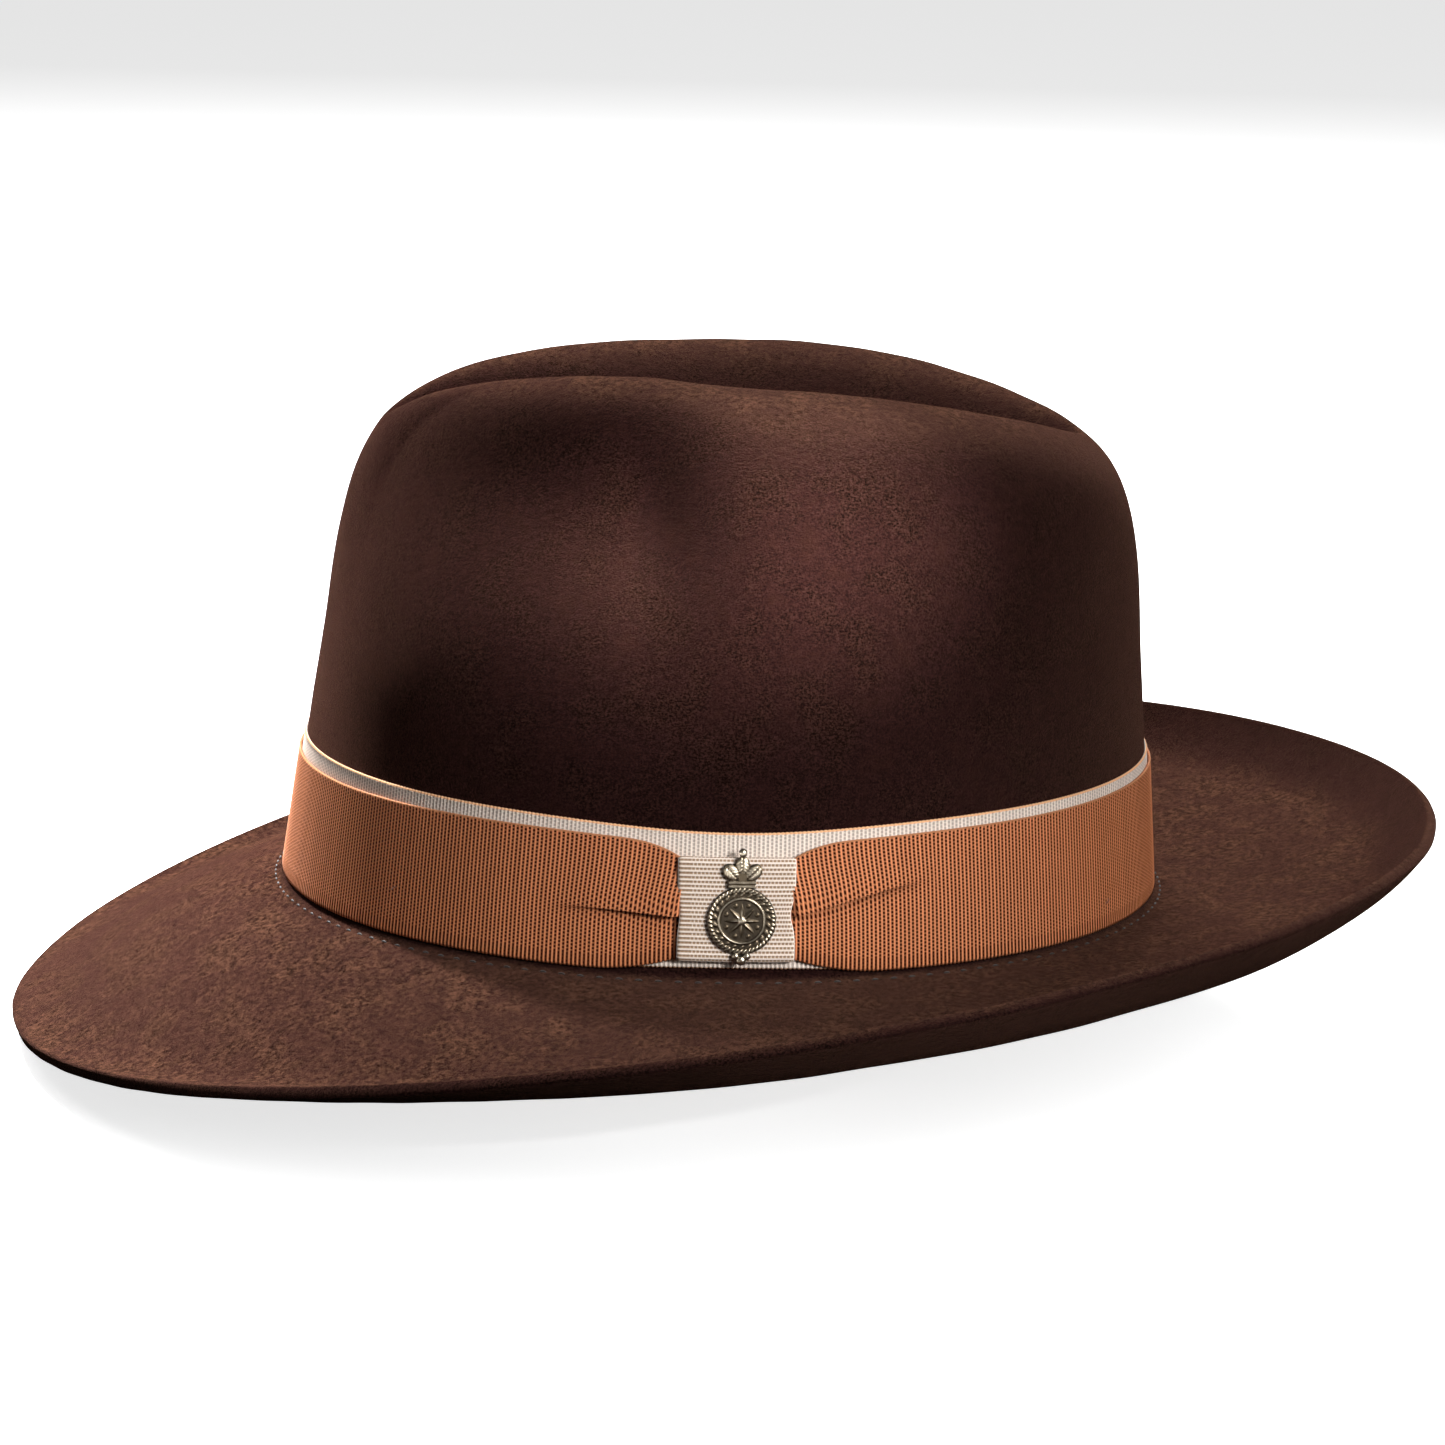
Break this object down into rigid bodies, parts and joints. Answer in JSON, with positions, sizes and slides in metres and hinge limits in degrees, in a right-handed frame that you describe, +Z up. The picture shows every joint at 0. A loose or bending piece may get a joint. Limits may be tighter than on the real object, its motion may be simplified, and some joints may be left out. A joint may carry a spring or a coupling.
{
  "type": "fedora hat",
  "caption": "Soft felt hat with a dented and pinched crown, a wide snap brim, a two-colour ribbon band with a flat bow, and a small metal badge on the bow.",
  "frame": {"origin": "centre of the head opening, level with the brim break", "axes": "+Z up through the crown, -Y towards the front of the hat, +X towards the wearer's left, where the bow is"},
  "size_m": [0.308, 0.343, 0.162],
  "materials": {
    "felt": "short brushed fur felt, dark brown",
    "ribbon_copper": "ribbed grosgrain, soft sheen",
    "ribbon_cream": "ribbed grosgrain, soft sheen",
    "thread": "waxed sewing thread",
    "antique_brass": "cast, darkened in the recesses",
    "leather": "smooth roan leather",
    "leather_bow": "narrow grosgrain",
    "satin": "satin lining",
    "satin_braid": "covered piping cord",
    "clear_film": "clear flexible film"
  },
  "bodies": {
    "hat": {"felt_body": "felt", "base_ribbon": "ribbon_cream", "copper_ribbon": "ribbon_copper", "ribbon_knot": "ribbon_cream", "ribbon_tacks": "thread", "badge_keepers": "antique_brass", "sweatband": "leather", "sweatband_reed": "leather", "sweatband_stitches": "thread", "sweatband_seam": "leather", "sweatband_bow": "leather_bow", "lining_side": "satin", "lining_tip": "satin", "lining_braid": "satin_braid", "tip_protector": "clear_film", "protector_piping": "satin_braid"},
    "badge": {"badge_plate": "antique_brass", "badge_posts": "antique_brass"}
  },
  "joints": [
    {"name": "badge_pull", "type": "slide", "parent": "hat", "child": "badge", "axis": [0.9959, 0.0289, 0.0859], "range_m": [0, 0.003]}
  ]
}
